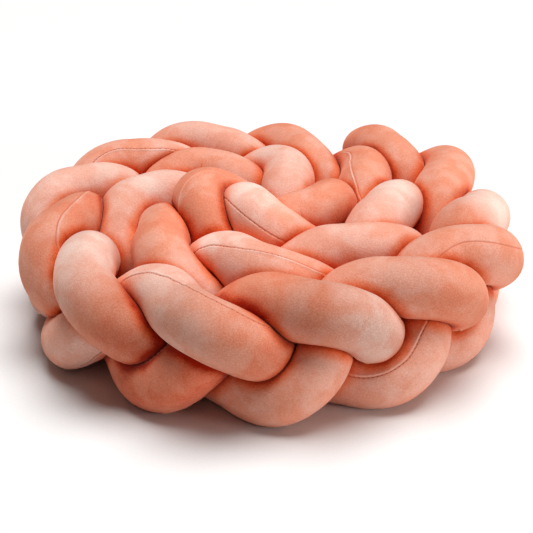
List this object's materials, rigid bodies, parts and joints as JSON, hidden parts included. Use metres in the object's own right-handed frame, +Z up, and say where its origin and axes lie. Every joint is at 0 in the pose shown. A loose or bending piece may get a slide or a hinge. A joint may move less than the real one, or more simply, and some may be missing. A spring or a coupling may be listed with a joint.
{
  "type": "braided crib bumper",
  "caption": "Soft crib bumper of stuffed velvet tubes plaited into a long flat braid, wound up on its edge in a coil that stands by itself.",
  "frame": {"origin": "on the floor, under the middle of the coil's box", "axes": "+Z up, out of the coil's flat side; +X to the right and +Y away, as seen from the front"},
  "size_m": [0.5858, 0.574, 0.1784],
  "materials": {
    "velvet": "matte coral short-pile velvet, brushed in patches"
  },
  "bodies": {
    "root": {"tube_1": "velvet", "tube_2": "velvet", "tube_3": "velvet"}
  },
  "joints": []
}
